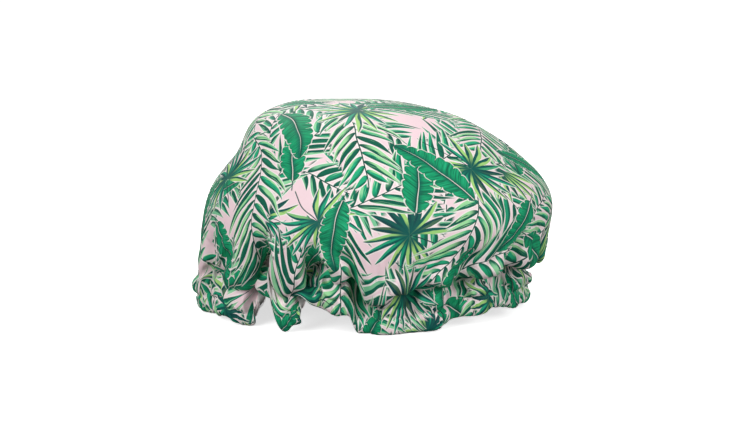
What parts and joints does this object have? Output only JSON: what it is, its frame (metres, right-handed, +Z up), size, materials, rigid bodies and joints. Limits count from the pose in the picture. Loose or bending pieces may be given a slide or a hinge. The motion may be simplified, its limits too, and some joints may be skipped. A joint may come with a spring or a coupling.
{
  "type": "shower cap",
  "caption": "Puffed bouffant shower cap with a printed fabric outer, a waterproof lining and an elastic gathered hem.",
  "frame": {"origin": "middle of the cap's bounding box, on the surface that its hem stands on", "axes": "+Z up through the crown, +X towards the side whose hem stands higher, -Y towards the side with the high arch in the hem"},
  "size_m": [0.2906, 0.257, 0.169],
  "materials": {
    "printed_fabric": "satin weave, green leaf print on pale pink",
    "lining_film": "soft translucent film, pale",
    "woven_elastic": "flat woven elastic, matt",
    "white_thread": "polyester sewing thread",
    "pink_thread": "polyester sewing thread"
  },
  "bodies": {
    "root": {"outer_shell": "printed_fabric", "waterproof_lining": "lining_film", "elastic_band": "woven_elastic", "elastic_join_stitches": "white_thread", "channel_needle_thread": "pink_thread", "channel_bobbin_thread": "white_thread", "edge_seam_thread": "white_thread"}
  },
  "joints": []
}
